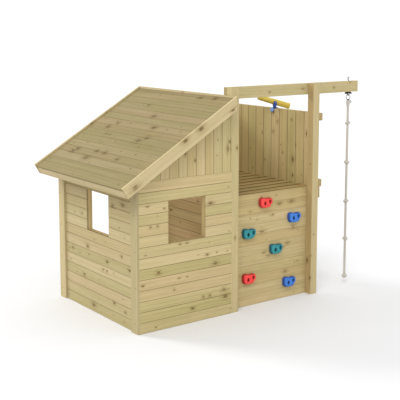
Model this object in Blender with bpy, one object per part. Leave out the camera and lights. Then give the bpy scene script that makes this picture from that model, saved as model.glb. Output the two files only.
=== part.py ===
"""A timber play structure: a climbing wall on a raised platform, a playhouse beside it and a rope beam.

Frame: +Z up, X runs along the front from the playhouse to the rope, Y runs from the front to the back.
Every piece is drawn from the front left corner of the playhouse, on the ground. The finished model is
then moved so that its origin is the middle of its base. All lengths are metres.
"""

import math

import bmesh
import bpy
import numpy as np
from mathutils import Matrix, Vector

# Clearance left between two pieces that touch.
GAP = 0.0003

# Cladding: tongue and groove boards, one pitch high, with a small V between them.
PITCH = 0.105
CLAD = 0.020
V_WIDTH = 0.006
V_DEPTH = 0.003

# Plan of the whole structure.
DEPTH = 1.570
POST = 0.090
HOUSE_END = 1.125
POST_LEFT = (HOUSE_END, HOUSE_END + POST)
POST_RIGHT = (2.224, 2.224 + POST)
FRONT_POST = (0.0, POST)
BACK_POST = (DEPTH - POST, DEPTH)
BEAM_END = 2.978

# Heights.
WALL_TOP = 14 * PITCH
SIDE_TOP = 12 * PITCH
DECK_TOP = 1.185
GUARD_TOP = 1.985
POST_TOP = 2.305

# Window and doorway openings.
SILL = 8 * PITCH
FRONT_WINDOW = (0.355, 0.7975)
SIDE_WINDOW = (0.560, 0.998)
DOORWAY = (0.330, 0.830)
FRAME_WIDTH = 0.045
FRAME_DEPTH = 0.044

# Corner trims.
TRIM = 0.022
TRIM_WIDTH = 0.118

# Roof: one slope, low along the side wall. Its reference line is the bargeboards' upper edge.
ROOF_ANGLE = math.radians(30.47)
EAVE_X = -0.2224
EAVE_Z = 1.4527
RIDGE_X = 1.100
OVERHANG = 0.115
BARGE = 0.022
BARGE_WIDTH = 0.118
ROOF_SUNK = 0.018
ROOF_BOARD = 0.016
RAFTER = (0.045, 0.070)

# Beam that carries the rope.
BEAM = (0.045, 0.120)
BEAM_FRONT = POST + GAP

# Climbing wall.
CLIMB_BOARDS = 11
CLIMB_PITCH = 1.1838 / CLIMB_BOARDS
CLIMB_EASE = 0.0015
CLIMB_END = 2.2937
HOLD_SIZE = (0.188, 0.104, 0.045)
HOLDS = {
    "red_top": (1.636, 1.080),
    "blue_top": (2.039, 0.874),
    "green_left": (1.414, 0.777),
    "green_middle": (1.786, 0.564),
    "red_low": (1.417, 0.297),
    "blue_low": (1.976, 0.174),
}
HOLD_BORES = ((-0.033, 0.003), (0.036, 0.013))
BORE_RADIUS = 0.0120
BORE_DEPTH = 0.028

# Platform and guard walls.
DECK_BOARD = 0.145
DECK_THICK = 0.022
DECK_GROOVE = (0.005, 0.012)
JOIST = (0.045, 0.093)
GUARD_PITCH = 0.137
GUARD_BOARD = 0.0197
GUARD_BOTTOM = 1.0697
RAIL = (0.045, 0.080)
RIM = (0.020, 0.1187)

# Telescope on the top edge of the side guard wall.
SCOPE_PAN = Vector((2.312, 0.732, GUARD_TOP))
SCOPE_TILT_HEIGHT = 0.070
SCOPE_HEADING = math.radians(-30.0)
SCOPE_DIP = math.radians(16.5)
SCOPE_FRONT = 0.178
SCOPE_REAR = 0.200
SCOPE_RADIUS = 0.033
CHEEK_GAP = 0.0362
CHEEK = 0.005
PIN_RADIUS = 0.005
PIN_CLEARANCE = 0.0001

# Rope and its fittings under the beam.
ROPE_X = 2.8535
ROPE_Y = BEAM_FRONT + BEAM[0] / 2
ROPE_DIAMETER = 0.027
ROPE_TOP = 2.0650
ROPE_END = 0.057
KNOTS = (1.836, 1.392, 0.948, 0.517, 0.0805)
KNOT_HEIGHT = 0.044
KNOT_WIDTH = 0.066
BOLT_RADIUS = 0.0045
EYE_RADIUS = 0.011
EYE_Z = 2.1553
RING_RADIUS = 0.030
RING_WIRE = 0.004
HOUSING_WIDTH = 0.038
HOUSING_LOBE = (
    (0.010, 0.0125),
    (0.017, 0.0155),
    (0.024, 0.0220),
    (0.031, 0.0240),
    (0.0365, 0.0210),
    (0.038, 0.0155),
    (0.034, 0.0095),
    (0.025, 0.0040),
    (0.013, 0.0),
)

PINE = (0.545, 0.450, 0.240)
PINE_PALE = (0.600, 0.500, 0.280)
PINE_GREEN = (0.470, 0.410, 0.210)


def material(name, colour, roughness=0.7, metallic=0.0):
    made = bpy.data.materials.get(name)
    if made is None:
        made = bpy.data.materials.new(name)
        made.use_nodes = True
        shader = made.node_tree.nodes["Principled BSDF"]
        shader.inputs["Base Color"].default_value = (*colour, 1.0)
        shader.inputs["Roughness"].default_value = roughness
        shader.inputs["Metallic"].default_value = metallic
        made.diffuse_color = (*colour, 1.0)
    return made


def add_object(name, mesh, finish, origin=(0.0, 0.0, 0.0)):
    """Links a mesh given in world coordinates as an object whose own origin is at the given point."""
    mesh.transform(Matrix.Translation(-Vector(origin)))
    mesh.materials.clear()
    mesh.materials.append(finish)
    made = bpy.data.objects.new(name, mesh)
    made.location = origin
    bpy.context.scene.collection.objects.link(made)
    return made


def mesh_from_bmesh(name, bm):
    bmesh.ops.recalc_face_normals(bm, faces=bm.faces)
    mesh = bpy.data.meshes.new(name)
    bm.to_mesh(mesh)
    bm.free()
    return mesh


# Which world axes an outline's two coordinates and its extrusion follow.
PLANES = {"YZ": (1, 2, 0), "XZ": (0, 2, 1), "XY": (0, 1, 2)}


def prism_mesh(name, outline, plane, low, high):
    """An outline in a coordinate plane, extruded along the third axis from low to high."""
    first, second, along = PLANES[plane]
    bm = bmesh.new()
    ends = []
    for level in (low, high):
        ring = []
        for p, q in outline:
            point = [0.0, 0.0, 0.0]
            point[first] = p
            point[second] = q
            point[along] = level
            ring.append(bm.verts.new(point))
        ends.append(ring)
    count = len(outline)
    for i in range(count):
        j = (i + 1) % count
        bm.faces.new((ends[0][i], ends[0][j], ends[1][j], ends[1][i]))
    bm.faces.new(ends[0])
    bm.faces.new(ends[1])
    return mesh_from_bmesh(name, bm)


def prism(name, outline, plane, low, high, finish):
    return add_object(name, prism_mesh(name, outline, plane, low, high), finish)


def rectangle(p, q, ease=0.0):
    """The outline of a timber's section, with its four edges eased by a small chamfer."""
    (p0, p1), (q0, q1) = p, q
    if ease == 0.0:
        return [(p0, q0), (p1, q0), (p1, q1), (p0, q1)]
    return [
        (p0 + ease, q0),
        (p1 - ease, q0),
        (p1, q0 + ease),
        (p1, q1 - ease),
        (p1 - ease, q1),
        (p0 + ease, q1),
        (p0, q1 - ease),
        (p0, q0 + ease),
    ]


def box_mesh(name, x, y, z):
    return prism_mesh(name, rectangle(x, y), "XY", z[0], z[1])


def grooved(start, end, lines, face, back, both=False):
    """A panel's section as (position across the boards, thickness), with a V at each board line."""
    inward = 1 if back > face else -1
    half = V_WIDTH / 2
    lines = [line for line in lines if start + half < line < end - half]
    outline = [(start, face)]
    for line in lines:
        outline += [(line - half, face), (line, face + inward * V_DEPTH), (line + half, face)]
    outline += [(end, face), (end, back)]
    if both:
        for line in reversed(lines):
            outline += [(line + half, back), (line, back - inward * V_DEPTH), (line - half, back)]
    outline.append((start, back))
    return outline


def swapped(outline):
    return [(q, p) for p, q in outline]


def carve(target, cutters, operation="DIFFERENCE"):
    """Applies one Boolean for each cutter mesh and leaves no cutter behind."""
    for number, mesh in enumerate(cutters):
        cutter = bpy.data.objects.new(f"cutter_{number}", mesh)
        cutter.hide_render = True
        cutter.display_type = "WIRE"
        bpy.context.scene.collection.objects.link(cutter)
        boolean = target.modifiers.new("carve", "BOOLEAN")
        boolean.operation = operation
        boolean.solver = "EXACT"
        boolean.object = cutter
        bpy.context.view_layer.update()
        graph = bpy.context.evaluated_depsgraph_get()
        result = bpy.data.meshes.new_from_object(target.evaluated_get(graph))
        target.modifiers.clear()
        target.data = result
        bpy.data.objects.remove(cutter)
    return target


def lathe(profile, segments=32):
    """Turns (radius, height) points round +Z and closes both ends on the axis."""
    bm = bmesh.new()
    rings = []
    for radius, height in profile:
        ring = []
        for k in range(segments):
            angle = 2 * math.pi * k / segments
            ring.append(bm.verts.new((radius * math.cos(angle), radius * math.sin(angle), height)))
        rings.append(ring)
    for lower, upper in zip(rings, rings[1:]):
        for k in range(segments):
            j = (k + 1) % segments
            bm.faces.new((lower[k], lower[j], upper[j], upper[k]))
    bm.faces.new(list(reversed(rings[0])))
    bm.faces.new(rings[-1])
    return bm


def turned_mesh(name, profile, matrix, segments=32):
    bm = lathe(profile, segments)
    bm.transform(matrix)
    return mesh_from_bmesh(name, bm)


def smooth(target, degrees=35.0):
    target.data.shade_smooth()
    target.data.set_sharp_from_angle(angle=math.radians(degrees))
    return target


def torus_mesh(name, centre, major, minor, turn, segments=32, sides=12):
    """A closed ring of round wire. The turn matrix takes its flat plane out of the XY plane."""
    bm = bmesh.new()
    rings = []
    for k in range(segments):
        a = 2 * math.pi * k / segments
        ring = []
        for j in range(sides):
            b = 2 * math.pi * j / sides
            reach = major + minor * math.cos(b)
            point = Vector((reach * math.cos(a), reach * math.sin(a), minor * math.sin(b)))
            ring.append(bm.verts.new(turn @ point + Vector(centre)))
        rings.append(ring)
    for k in range(segments):
        near, far = rings[k], rings[(k + 1) % segments]
        for j in range(sides):
            i = (j + 1) % sides
            bm.faces.new((near[j], far[j], far[i], near[i]))
    return mesh_from_bmesh(name, bm)


def tube(name, points, radius, finish, radii=None, sides=3, origin=(0.0, 0.0, 0.0)):
    """A round bar or rope along points, as a curve with filled ends."""
    data = bpy.data.curves.new(name, "CURVE")
    data.dimensions = "3D"
    data.bevel_depth = radius
    data.bevel_resolution = sides
    data.use_fill_caps = True
    spline = data.splines.new("POLY")
    spline.points.add(len(points) - 1)
    for number, point in enumerate(points):
        local = Vector(point) - Vector(origin)
        spline.points[number].co = (*local, 1.0)
        spline.points[number].radius = 1.0 if radii is None else radii[number]
    spline.use_smooth = True
    data.materials.append(finish)
    made = bpy.data.objects.new(name, data)
    made.location = origin
    bpy.context.scene.collection.objects.link(made)
    return made


# ---------------------------------------------------------------- roof geometry


def barge_line(x):
    """Height of the bargeboards' upper edge at x."""
    return EAVE_Z + (x - EAVE_X) * math.tan(ROOF_ANGLE)


def roof_line(x, sunk):
    """Height at x of a line parallel to the slope, this far under the bargeboards' upper edge."""
    return barge_line(x) - sunk / math.cos(ROOF_ANGLE)


def roof_underside(x):
    return roof_line(x, ROOF_SUNK + ROOF_BOARD)


def slope_point(along, sunk):
    """(x, z) at a distance up the slope from the eave and square under the bargeboards' upper edge."""
    x = EAVE_X + along * math.cos(ROOF_ANGLE) + sunk * math.sin(ROOF_ANGLE)
    z = EAVE_Z + along * math.sin(ROOF_ANGLE) - sunk * math.cos(ROOF_ANGLE)
    return x, z


# ---------------------------------------------------------------- playhouse walls


def board_lines(count, pitch=PITCH):
    return [pitch * k for k in range(1, count)]


def long_wall(name, face, back, finish):
    """A horizontal board wall across the front or the back of the house."""
    outline = swapped(grooved(0.0, WALL_TOP, board_lines(14), face, back))
    return prism(name, outline, "YZ", TRIM + GAP, HOUSE_END - GAP, finish)


def house_walls():
    pine = material("pine_boards", PINE)
    y_front = (0.0, CLAD)
    y_back = (DEPTH - CLAD, DEPTH)

    front = long_wall("front_wall_panel", 0.0, CLAD, pine)
    window = box_mesh("window", FRONT_WINDOW, (-0.01, CLAD + 0.01), (SILL, SIDE_TOP))
    carve(front, [window])

    back = long_wall("back_wall_panel", DEPTH, DEPTH - CLAD, pine)
    doorway = box_mesh("doorway", DOORWAY, (y_back[0] - 0.01, DEPTH + 0.01), (-0.01, SIDE_TOP))
    carve(back, [doorway])

    side_face = TRIM + GAP
    side_ends = (CLAD + GAP, DEPTH - CLAD - GAP)
    outline = swapped(grooved(0.0, SIDE_TOP, board_lines(12), side_face, side_face + CLAD))
    side = prism("left_wall_panel", outline, "XZ", side_ends[0], side_ends[1], pine)
    opening = box_mesh("opening", (0.0, 0.1), SIDE_WINDOW, (SILL, SIDE_TOP + 0.01))
    carve(side, [opening])

    partition_face = HOUSE_END - GAP - CLAD
    partition_top = 2.085
    outline = swapped(
        grooved(0.0, partition_top, board_lines(20), partition_face, HOUSE_END - GAP, both=True)
    )
    prism("partition_panel", outline, "XZ", side_ends[0], side_ends[1], pine)

    for name, (low, high) in (("front_gable_panel", y_front), ("back_gable_panel", y_back)):
        gable(name, low, high, material("pine_gable", PINE_PALE))


def gable(name, low, high, finish):
    """Vertical boards between the top of a long wall and the roof, notched round the ridge board."""
    left, right = TRIM + GAP, HOUSE_END - GAP
    notch = RIDGE_X - GAP
    bottom = WALL_TOP + GAP
    outline = [
        (left, bottom),
        (right, bottom),
        (right, 2.085),
        (notch, 2.085),
        (notch, roof_underside(notch) - GAP),
        (left, roof_underside(left) - GAP),
    ]
    panel = prism(name, outline, "XZ", low, high, finish)
    outer = low if low == 0.0 else high
    inward = 1 if outer == low else -1
    cutters = []
    for k in range(10):
        line = 1.109 - k * PITCH
        if line < left + V_WIDTH:
            continue
        section = [
            (line - V_WIDTH, outer - inward * V_DEPTH),
            (line + V_WIDTH, outer - inward * V_DEPTH),
            (line, outer + inward * V_DEPTH),
        ]
        cutters.append(prism_mesh("v_cut", section, "XY", 1.4, 2.3))
    return carve(panel, cutters)


def house_trims_and_frames():
    pale = material("pine_trim", PINE_PALE)
    frame = material("pine_frame", PINE_GREEN)
    for name, y in (
        ("corner_trim_front", (0.0, TRIM_WIDTH)),
        ("corner_trim_back", (DEPTH - TRIM_WIDTH, DEPTH)),
    ):
        outline = [
            (0.0, 0.0),
            (TRIM, 0.0),
            (TRIM, roof_underside(TRIM) - GAP),
            (0.0, roof_underside(0.0) - GAP),
        ]
        prism(name, outline, "XZ", y[0], y[1], pale)

    # The wall plate over the side window: a square timber with a set-back board up to the roof.
    inner = TRIM + GAP + CLAD + GAP
    board = inner + CLAD
    deep = inner + FRAME_DEPTH
    plate_bottom = SIDE_TOP + GAP
    plate_top = plate_bottom + FRAME_WIDTH
    outline = [
        (inner, plate_bottom),
        (deep, plate_bottom),
        (deep, plate_top),
        (board, plate_top),
        (board, roof_underside(board) - GAP),
        (inner, roof_underside(inner) - GAP),
    ]
    prism("left_wall_plate", outline, "XZ", CLAD + GAP, DEPTH - CLAD - GAP, frame)

    # Window frames: a full ring behind the front wall, a U under the wall plate at the side.
    low, high = CLAD + GAP, CLAD + GAP + FRAME_DEPTH
    x0, x1 = FRONT_WINDOW
    ring = box_mesh(
        "ring",
        (x0 - FRAME_WIDTH, x1 + FRAME_WIDTH),
        (low, high),
        (SILL - FRAME_WIDTH, SIDE_TOP + FRAME_WIDTH),
    )
    hole = box_mesh("hole", FRONT_WINDOW, (low - 0.01, high + 0.01), (SILL, SIDE_TOP))
    carve(add_object("front_window_frame", ring, frame), [hole])

    y0, y1 = SIDE_WINDOW
    outline = [
        (y0 - FRAME_WIDTH, SILL - FRAME_WIDTH),
        (y1 + FRAME_WIDTH, SILL - FRAME_WIDTH),
        (y1 + FRAME_WIDTH, SIDE_TOP),
        (y1, SIDE_TOP),
        (y1, SILL),
        (y0, SILL),
        (y0, SIDE_TOP),
        (y0 - FRAME_WIDTH, SIDE_TOP),
    ]
    prism("left_window_frame", outline, "YZ", inner, deep, frame)

    # Doorway frame: two jambs and a head behind the back wall.
    x0, x1 = DOORWAY
    outline = [
        (x0 - FRAME_WIDTH, 0.0),
        (x0, 0.0),
        (x0, SIDE_TOP),
        (x1, SIDE_TOP),
        (x1, 0.0),
        (x1 + FRAME_WIDTH, 0.0),
        (x1 + FRAME_WIDTH, SIDE_TOP + FRAME_WIDTH),
        (x0 - FRAME_WIDTH, SIDE_TOP + FRAME_WIDTH),
    ]
    back = DEPTH - CLAD - GAP
    prism("doorway_frame", outline, "XZ", back - FRAME_DEPTH, back, frame)


# ---------------------------------------------------------------- roof


def roof():
    roof_pine = material("pine_roof", PINE_GREEN)
    pale = material("pine_trim", PINE_PALE)
    frame = material("pine_frame", PINE_GREEN)
    inside = (-OVERHANG + BARGE + GAP, DEPTH + OVERHANG - BARGE - GAP)
    top_x = RIDGE_X - GAP

    # Roof boards run from front to back, so their section lies across the slope.
    slope_end = (top_x - EAVE_X) / math.cos(ROOF_ANGLE)
    lines = [k * PITCH for k in range(1, 15)]
    section = grooved(0.0, slope_end, lines, ROOF_SUNK, ROOF_SUNK + ROOF_BOARD)
    outline = []
    for along, sunk in section:
        x, z = slope_point(along, sunk)
        if x > top_x or along >= slope_end:
            x, z = top_x, roof_line(top_x, sunk)
        outline.append((x, z))
    prism("roof_boards", outline, "XZ", inside[0], inside[1], roof_pine)

    outline = [
        slope_point(0.003, BARGE_WIDTH),
        slope_point(0.003 + BARGE, BARGE_WIDTH),
        slope_point(0.003 + BARGE, ROOF_SUNK + ROOF_BOARD + GAP),
        slope_point(0.003, ROOF_SUNK + ROOF_BOARD + GAP),
    ]
    prism("eave_fascia", outline, "XZ", inside[0], inside[1], pale)

    outline = [
        slope_point(0.0, 0.0),
        slope_point(0.0, BARGE_WIDTH),
        (RIDGE_X, roof_line(RIDGE_X, BARGE_WIDTH)),
        (RIDGE_X, barge_line(RIDGE_X)),
    ]
    front, back = -OVERHANG, DEPTH + OVERHANG
    prism("front_bargeboard", outline, "XZ", front, front + BARGE, pale)
    prism("back_bargeboard", outline, "XZ", back - BARGE, back, pale)

    ridge = rectangle((RIDGE_X + GAP, RIDGE_X + GAP + BARGE), (2.0856, 2.228))
    prism("ridge_board", ridge, "XZ", inside[0], inside[1], pale)

    low_x = TRIM + 3 * GAP + CLAD + FRAME_DEPTH + GAP
    high_x = HOUSE_END - 2 * GAP - CLAD - 0.005
    top = ROOF_SUNK + ROOF_BOARD + GAP
    outline = [
        (low_x, roof_line(low_x, top)),
        (low_x, roof_line(low_x, top + RAFTER[1])),
        (high_x, roof_line(high_x, top + RAFTER[1])),
        (high_x, roof_line(high_x, top)),
    ]
    wall = CLAD + GAP
    prism("front_rafter", outline, "XZ", wall, wall + RAFTER[0], frame)
    prism("back_rafter", outline, "XZ", DEPTH - wall - RAFTER[0], DEPTH - wall, frame)


# ---------------------------------------------------------------- tower


def tower_frame():
    post = material("pine_post", PINE_PALE)
    rail = material("pine_rail", PINE)
    inner = HOUSE_END
    for name, x, y, top in (
        ("post_front_left", POST_LEFT, FRONT_POST, POST_TOP),
        ("post_front_right", POST_RIGHT, FRONT_POST, POST_TOP),
        ("post_back_left", POST_LEFT, BACK_POST, GUARD_TOP),
        ("post_back_right", POST_RIGHT, BACK_POST, GUARD_TOP),
    ):
        prism(name, rectangle(x, y, 0.003), "XY", 0.0, top, post)

    y = (BEAM_FRONT, BEAM_FRONT + BEAM[0])
    section = rectangle(y, (POST_TOP - BEAM[1], POST_TOP), 0.003)
    beam = prism("top_beam", section, "YZ", inner, BEAM_END, material("pine_beam", PINE))
    bore = turned_mesh(
        "bore",
        [(BOLT_RADIUS + 0.0008, 2.0), (BOLT_RADIUS + 0.0008, 2.4)],
        Matrix.Translation((ROPE_X, ROPE_Y, 0.0)),
        20,
    )
    carve(beam, [bore])

    outside = POST_RIGHT[1] + GAP
    full = (0.0, DEPTH)
    for name, z in (
        ("right_upper_rail", (GUARD_TOP - RAIL[1], GUARD_TOP)),
        ("right_lower_rail", (DECK_TOP + 0.001, DECK_TOP + 0.001 + RAIL[1])),
    ):
        section = rectangle((outside, outside + RAIL[0]), z, 0.002)
        prism(name, section, "XZ", full[0], full[1], rail)
    section = rectangle((outside, outside + RIM[0]), (DECK_TOP - RIM[1] + GAP, DECK_TOP + GAP))
    prism("right_rim_board", section, "XZ", full[0], full[1], rail)
    section = rectangle((DEPTH + GAP, DEPTH + GAP + RAIL[0]), (GUARD_TOP - RAIL[1], GUARD_TOP), 0.002)
    prism("back_upper_rail", section, "YZ", inner, POST_RIGHT[1], rail)


def guard_walls():
    """Vertical boards from under the platform to the guard height, on the right and at the back."""
    boards = material("pine_guard", PINE)
    low, high = POST + GAP, DEPTH - POST - GAP
    face = POST_RIGHT[1] - GAP - GUARD_BOARD
    lines = [0.216 + GUARD_PITCH * k for k in range(-1, 10)]
    outline = swapped(grooved(low, high, lines, face, face + GUARD_BOARD, both=True))
    prism("right_guard_panel", outline, "XY", GUARD_BOTTOM, GUARD_TOP, boards)

    low, high = POST_LEFT[1] + GAP, POST_RIGHT[0] - GAP
    back = DEPTH - GAP
    lines = [low + GUARD_PITCH * k for k in range(1, 8)]
    outline = grooved(low, high, lines, back - GUARD_BOARD, back, both=True)
    prism("back_guard_panel", outline, "XY", GUARD_BOTTOM, GUARD_TOP, boards)


def platform():
    deck = material("pine_deck", (0.330, 0.250, 0.130))
    left, right = HOUSE_END + GAP, CLIMB_END
    front = BEAM_FRONT + CLAD + GAP
    back = DEPTH - POST - GAP
    far = DEPTH - 2 * GAP - GUARD_BOARD
    outline = [
        (left, front),
        (right, front),
        (right, back),
        (POST_RIGHT[0] - GAP, back),
        (POST_RIGHT[0] - GAP, far),
        (POST_LEFT[1] + GAP, far),
        (POST_LEFT[1] + GAP, back),
        (left, back),
    ]
    boards = prism("deck_boards", outline, "XY", DECK_TOP - DECK_THICK, DECK_TOP, deck)
    width, depth = DECK_GROOVE
    cutters = []
    for k in range(1, 10):
        y = front + k * DECK_BOARD
        cutters.append(
            box_mesh(
                "groove",
                (left - 0.01, right + 0.01),
                (y - width / 2, y + width / 2),
                (DECK_TOP - depth, DECK_TOP + 0.01),
            )
        )
    carve(boards, cutters)

    top = DECK_TOP - DECK_THICK - GAP
    for name, x in (
        ("left_joist", (left, left + JOIST[0])),
        ("right_joist", (right - JOIST[0], right)),
    ):
        section = rectangle(x, (top - JOIST[1], top))
        prism(name, section, "XZ", front, back, material("pine_frame", PINE_GREEN))


def climbing_wall():
    finish = material("pine_climbing", PINE)
    face, back = BEAM_FRONT, BEAM_FRONT + CLAD
    for k in range(CLIMB_BOARDS):
        low = k * CLIMB_PITCH + (GAP if k else 0.0)
        high = (k + 1) * CLIMB_PITCH
        outline = [
            (face, low + CLIMB_EASE),
            (face + CLIMB_EASE, low),
            (back, low),
            (back, high),
            (face + CLIMB_EASE, high),
            (face, high - CLIMB_EASE),
        ]
        prism(f"climbing_board_{k + 1:02d}", outline, "YZ", HOUSE_END + GAP, CLIMB_END, finish)

    x = (POST_LEFT[1] + POST_RIGHT[0] - JOIST[0]) / 2
    section = rectangle((x, x + JOIST[0]), (back + GAP, back + GAP + JOIST[0]))
    frame = material("pine_frame", PINE_GREEN)
    prism("climbing_wall_batten", section, "XY", 0.0, DECK_TOP - DECK_THICK - GAP, frame)


def hold_outline(angle):
    """The stone's outer edge at an angle, as (x, z): broad shoulders, a narrower foot."""
    width, height, _ = HOLD_SIZE
    power = 2.0 / 2.9
    c, s = math.cos(angle), math.sin(angle)
    x = width / 2 * math.copysign(abs(c) ** power, c)
    z = height / 2 * math.copysign(abs(s) ** power, s)
    taper = 1.0 - 0.26 * (0.5 - z / height)
    lump = 1.0 + 0.015 * math.cos(3 * angle + 0.6)
    return x * taper * lump + 0.10 * z, z * lump


def hold_mesh():
    """One climbing hold: a rounded stone with its flat back at y = 0, standing out towards -Y."""
    depth = HOLD_SIZE[2]
    levels = ((0.0, 0.97), (0.12, 1.0), (0.50, 0.96), (0.78, 0.86), (0.94, 0.70), (1.0, 0.48))
    count = 40
    bm = bmesh.new()
    rings = []
    for share, scale in levels:
        ring = []
        for k in range(count):
            x, z = hold_outline(2 * math.pi * k / count)
            lift = 0.006 * share * z / HOLD_SIZE[1]
            ring.append(bm.verts.new((x * scale, -depth * share, z * scale + lift)))
        rings.append(ring)
    for near, far in zip(rings, rings[1:]):
        for k in range(count):
            j = (k + 1) % count
            bm.faces.new((near[k], near[j], far[j], far[k]))
    bm.faces.new(rings[0])
    bm.faces.new(rings[-1])
    return mesh_from_bmesh("hold", bm)


def holds():
    colours = {
        "red": (0.780, 0.050, 0.040),
        "blue": (0.045, 0.200, 0.720),
        "green": (0.020, 0.250, 0.230),
    }
    quarter = Matrix.Rotation(math.radians(90.0), 4, "X")
    for name, (x, z) in HOLDS.items():
        colour = name.split("_")[0]
        place = Matrix.Translation((x, BEAM_FRONT - GAP, z))
        mesh = hold_mesh()
        mesh.transform(place)
        finish = material(f"hold_{colour}", colours[colour], 0.45)
        stone = add_object(f"hold_{name}", mesh, finish)
        bores = []
        for dx, dz in HOLD_BORES:
            turn = place @ Matrix.Translation((dx, 0.0, dz)) @ quarter
            floor = HOLD_SIZE[2] - BORE_DEPTH
            profile = [(BORE_RADIUS, floor), (BORE_RADIUS, HOLD_SIZE[2] + 0.02)]
            bores.append(turned_mesh("bore", profile, turn, 16))
        smooth(carve(stone, bores), 40.0)


# ---------------------------------------------------------------- telescope


def telescope():
    blue = material("telescope_blue", (0.010, 0.070, 0.380), 0.4)
    pale_blue = material("telescope_pale_blue", (0.190, 0.330, 0.700), 0.4)
    yellow = material("telescope_yellow", (0.690, 0.480, 0.030), 0.4)
    pan = SCOPE_PAN
    base_z = GUARD_TOP + GAP
    plate_top = base_z + 0.007

    # Base: a plate over the wall's top edge with a lip down its inner face.
    inner_face = POST_RIGHT[1] - GAP - GUARD_BOARD - GAP
    lip = inner_face - 0.005
    section = [
        (lip, GUARD_TOP - 0.036),
        (inner_face, GUARD_TOP - 0.036),
        (inner_face, base_z),
        (pan.x + 0.034, base_z),
        (pan.x + 0.034, plate_top),
        (lip, plate_top),
    ]
    base = prism("telescope_base", section, "XZ", pan.y - 0.026, pan.y + 0.026, blue)
    socket = turned_mesh(
        "socket",
        [(PIN_RADIUS + PIN_CLEARANCE, GUARD_TOP - 0.01), (PIN_RADIUS + PIN_CLEARANCE, GUARD_TOP + 0.02)],
        Matrix.Translation((pan.x, pan.y, 0.0)),
    )
    shoulder = box_mesh(
        "shoulder",
        (lip - 0.01, inner_face),
        (pan.y - 0.04, pan.y - 0.012),
        (GUARD_TOP - 0.1, base_z - 0.002),
    )
    carve(base, [socket, shoulder])

    # Round cap over the screw that fixes the lip.
    side = Matrix.Translation((lip - GAP, pan.y + 0.007, GUARD_TOP - 0.018))
    side = side @ Matrix.Rotation(math.radians(-90.0), 4, "Y")
    profile = [(0.0235, 0.0), (0.0245, 0.003), (0.0245, 0.011), (0.0215, 0.015), (0.0120, 0.017)]
    cap = turned_mesh("telescope_cap", profile, side)
    smooth(add_object("telescope_cap", cap, pale_blue))

    # Yoke: a disc and pin on the pan axis, a stem and two cheeks that hold the tube's pins.
    tilt = pan + Vector((0.0, 0.0, SCOPE_TILT_HEIGHT))
    heading = Matrix.Rotation(SCOPE_HEADING, 4, "Z")
    place = Matrix.Translation(pan) @ heading
    outer = CHEEK_GAP + CHEEK
    low = plate_top + GAP - GUARD_TOP
    crotch = SCOPE_TILT_HEIGHT - SCOPE_RADIUS - 0.017
    top = SCOPE_TILT_HEIGHT + 0.014
    fork = [
        (-0.012, low),
        (0.012, low),
        (0.012, low + 0.006),
        (outer, crotch - 0.002),
        (outer, top),
        (CHEEK_GAP, top),
        (CHEEK_GAP, crotch + 0.004),
        (0.010, crotch - 0.001),
        (-0.010, crotch - 0.001),
        (-CHEEK_GAP, crotch + 0.004),
        (-CHEEK_GAP, top),
        (-outer, top),
        (-outer, crotch - 0.002),
        (-0.012, low + 0.006),
    ]
    fork_mesh = prism_mesh("telescope_yoke", fork, "YZ", -0.03, 0.03)
    fork_mesh.transform(place)
    yoke = add_object("telescope_yoke", fork_mesh, blue)
    steps = 10
    blade = [(-0.009, 0.0), (0.009, 0.0)]
    blade += [(0.020, SCOPE_TILT_HEIGHT - 0.006)]
    for k in range(steps + 1):
        angle = math.pi * k / steps
        blade.append(
            (0.018 * math.cos(angle), SCOPE_TILT_HEIGHT - 0.003 + 0.016 * math.sin(angle))
        )
    blade += [(-0.020, SCOPE_TILT_HEIGHT - 0.006)]
    blade_mesh = prism_mesh("blade", blade, "XZ", -0.06, 0.06)
    blade_mesh.transform(place)
    carve(yoke, [blade_mesh], "INTERSECT")
    disc_profile = [(0.022, low), (0.022, low + 0.005)]
    disc = turned_mesh("disc", disc_profile, Matrix.Translation(pan))
    pin_profile = [(PIN_RADIUS, 0.0012), (PIN_RADIUS, low + 0.002)]
    pin = turned_mesh("pin", pin_profile, Matrix.Translation(pan))
    carve(yoke, [disc, pin], "UNION")
    across = Matrix.Translation(tilt) @ heading @ Matrix.Rotation(math.radians(90.0), 4, "X")
    hole_radius = PIN_RADIUS + PIN_CLEARANCE
    hole = turned_mesh("hole", [(hole_radius, -0.05), (hole_radius, 0.05)], across)
    carve(yoke, [hole])
    yoke.data.transform(Matrix.Translation(-pan))
    yoke.location = pan
    smooth(yoke)

    # Tube: turned about its own axis, eyepiece at the rear, a rim round the front, a dished lens.
    aim = (
        Matrix.Translation(tilt)
        @ heading
        @ Matrix.Rotation(SCOPE_DIP, 4, "Y")
        @ Matrix.Rotation(math.radians(90.0), 4, "Y")
    )
    rim = SCOPE_RADIUS + 0.002
    profile = [
        (0.015, -SCOPE_REAR + 0.008),
        (0.018, -SCOPE_REAR + 0.008),
        (0.018, -SCOPE_REAR),
        (0.023, -SCOPE_REAR),
        (0.026, -SCOPE_REAR + 0.003),
        (0.026, -SCOPE_REAR + 0.022),
        (0.029, -SCOPE_REAR + 0.025),
        (SCOPE_RADIUS, 0.0),
        (SCOPE_RADIUS, SCOPE_FRONT - 0.024),
        (rim, SCOPE_FRONT - 0.022),
        (rim, SCOPE_FRONT - 0.002),
        (rim - 0.002, SCOPE_FRONT),
        (rim - 0.006, SCOPE_FRONT),
        (rim - 0.006, SCOPE_FRONT - 0.012),
        (rim - 0.012, SCOPE_FRONT - 0.010),
    ]
    body = add_object("telescope_tube", turned_mesh("telescope_tube", profile, aim, 40), yellow)
    reach = CHEEK_GAP + CHEEK + 0.002
    pins = turned_mesh("pins", [(PIN_RADIUS, -reach), (PIN_RADIUS, reach)], across)
    carve(body, [pins], "UNION")
    body.data.transform(Matrix.Translation(-tilt))
    body.location = tilt
    smooth(body)


# ---------------------------------------------------------------- rope and fittings


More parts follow.
